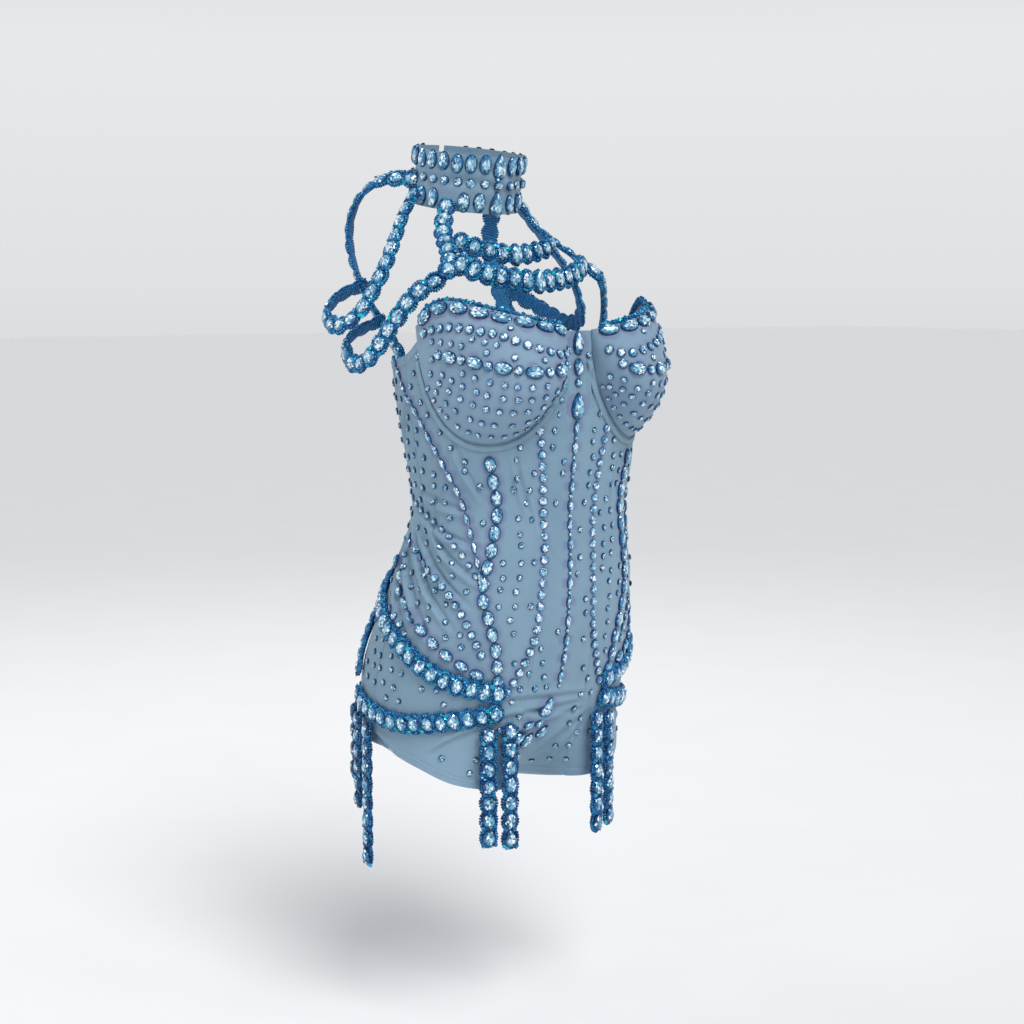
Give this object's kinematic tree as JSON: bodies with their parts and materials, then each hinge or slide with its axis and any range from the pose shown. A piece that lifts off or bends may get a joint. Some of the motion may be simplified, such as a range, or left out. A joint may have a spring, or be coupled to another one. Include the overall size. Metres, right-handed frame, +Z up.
{
  "type": "rhinestone leotard",
  "caption": "Sleeveless dance leotard with underwired cups, stand collar, jewelled strap cage, hip chains and hanging strands.",
  "frame": {"origin": "centre of the waist, on the wearer's vertical mid plane", "axes": "+Z up, the wearer faces -Y, +X is the wearer's left"},
  "size_m": [0.3106, 0.3375, 0.7448],
  "materials": {
    "bodysuit_fabric": "matte stretch knit, dusty blue",
    "cup_fabric": "matte stretch knit over moulded foam",
    "collar_fabric": "matte stretch knit over a stiffener",
    "elastic": "woven elastic",
    "zip_tape": "woven tape",
    "closure_metal": "satin",
    "sequin_braid": "cupped sequins and seed beads on braid",
    "stones": "faceted, foil backed"
  },
  "bodies": {
    "bodysuit": {"front_center_panel": "bodysuit_fabric", "front_side_panel_right": "bodysuit_fabric", "front_side_panel_left": "bodysuit_fabric", "back_panel_right": "bodysuit_fabric", "back_panel_left": "bodysuit_fabric", "gusset": "bodysuit_fabric", "cup_right": "cup_fabric", "cup_left": "cup_fabric", "underwire_right": "bodysuit_fabric", "underwire_left": "bodysuit_fabric", "back_edge_elastic": "elastic", "leg_elastic_right": "elastic", "leg_elastic_left": "elastic", "collar_band": "collar_fabric", "collar_hooks": "closure_metal", "collar_eyes": "closure_metal", "zip_tape": "zip_tape", "zip_teeth": "closure_metal", "shoulder_strap_right": "sequin_braid", "shoulder_strap_left": "sequin_braid", "outer_strap_right": "sequin_braid", "outer_strap_left": "sequin_braid", "inner_strap_right": "sequin_braid", "inner_strap_left": "sequin_braid", "chest_swag_upper": "sequin_braid", "chest_swag_lower": "sequin_braid", "cup_braid_right": "sequin_braid", "cup_braid_left": "sequin_braid", "upper_hip_chain_right": "sequin_braid", "upper_hip_chain_left": "sequin_braid", "lower_hip_chain_right": "sequin_braid", "lower_hip_chain_left": "sequin_braid", "side_hip_chain_right": "sequin_braid", "side_hip_chain_left": "sequin_braid", "collar_stones": "stones", "cup_stones": "stones", "bodice_stones": "stones", "chain_stones": "stones"},
    "zip_slider": {"zip_slider": "closure_metal"},
    "zip_pull": {"zip_pull": "closure_metal"},
    "strand_front_inner_right": {"strand_front_inner_right": "sequin_braid", "strand_stones_front_inner_right": "stones"},
    "strand_front_outer_right": {"strand_front_outer_right": "sequin_braid", "strand_stones_front_outer_right": "stones"},
    "strand_side_front_right": {"strand_side_front_right": "sequin_braid", "strand_stones_side_front_right": "stones"},
    "strand_side_middle_right": {"strand_side_middle_right": "sequin_braid", "strand_stones_side_middle_right": "stones"},
    "strand_side_back_right": {"strand_side_back_right": "sequin_braid", "strand_stones_side_back_right": "stones"},
    "strand_front_inner_left": {"strand_front_inner_left": "sequin_braid", "strand_stones_front_inner_left": "stones"},
    "strand_front_outer_left": {"strand_front_outer_left": "sequin_braid", "strand_stones_front_outer_left": "stones"},
    "strand_side_front_left": {"strand_side_front_left": "sequin_braid", "strand_stones_side_front_left": "stones"},
    "strand_side_middle_left": {"strand_side_middle_left": "sequin_braid", "strand_stones_side_middle_left": "stones"},
    "strand_side_back_left": {"strand_side_back_left": "sequin_braid", "strand_stones_side_back_left": "stones"}
  },
  "joints": [
    {"name": "zip_slide", "type": "slide", "parent": "bodysuit", "child": "zip_slider", "axis": [0, 0.169, 0.9856], "range_m": [-0.105, 0]},
    {"name": "zip_pull_hinge", "type": "hinge", "parent": "zip_slider", "child": "zip_pull", "pos_m": [0, 0.11227, 0.13152], "axis": [1, 0, 0], "range_deg": [0, 140]},
    {"name": "strand_hinge_front_inner_right", "type": "hinge", "parent": "bodysuit", "child": "strand_front_inner_right", "pos_m": [-0.05466, -0.05949, -0.2165], "axis": [-0.9697, 0.2442, 0], "range_deg": [0, 70]},
    {"name": "strand_hinge_front_outer_right", "type": "hinge", "parent": "bodysuit", "child": "strand_front_outer_right", "pos_m": [-0.07556, -0.05214, -0.21937], "axis": [-0.9273, 0.3743, 0], "range_deg": [0, 70]},
    {"name": "strand_hinge_side_front_right", "type": "hinge", "parent": "bodysuit", "child": "strand_side_front_right", "pos_m": [-0.14812, 0.0613, -0.2254], "axis": [0.0495, 0.9988, 0], "range_deg": [0, 70]},
    {"name": "strand_hinge_side_middle_right", "type": "hinge", "parent": "bodysuit", "child": "strand_side_middle_right", "pos_m": [-0.14509, 0.08354, -0.21896], "axis": [0.2444, 0.9697, 0], "range_deg": [0, 70]},
    {"name": "strand_hinge_side_back_right", "type": "hinge", "parent": "bodysuit", "child": "strand_side_back_right", "pos_m": [-0.13738, 0.1043, -0.2135], "axis": [0.449, 0.8935, 0], "range_deg": [0, 70]},
    {"name": "strand_hinge_front_inner_left", "type": "hinge", "parent": "bodysuit", "child": "strand_front_inner_left", "pos_m": [0.05466, -0.05949, -0.2165], "axis": [-0.9697, -0.2442, 0], "range_deg": [0, 70]},
    {"name": "strand_hinge_front_outer_left", "type": "hinge", "parent": "bodysuit", "child": "strand_front_outer_left", "pos_m": [0.07556, -0.05214, -0.21937], "axis": [-0.9273, -0.3743, 0], "range_deg": [0, 70]},
    {"name": "strand_hinge_side_front_left", "type": "hinge", "parent": "bodysuit", "child": "strand_side_front_left", "pos_m": [0.14812, 0.0613, -0.2254], "axis": [0.0495, -0.9988, 0], "range_deg": [0, 70]},
    {"name": "strand_hinge_side_middle_left", "type": "hinge", "parent": "bodysuit", "child": "strand_side_middle_left", "pos_m": [0.14509, 0.08354, -0.21896], "axis": [0.2444, -0.9697, 0], "range_deg": [0, 70]},
    {"name": "strand_hinge_side_back_left", "type": "hinge", "parent": "bodysuit", "child": "strand_side_back_left", "pos_m": [0.13738, 0.1043, -0.2135], "axis": [0.449, -0.8935, 0], "range_deg": [0, 70]}
  ]
}
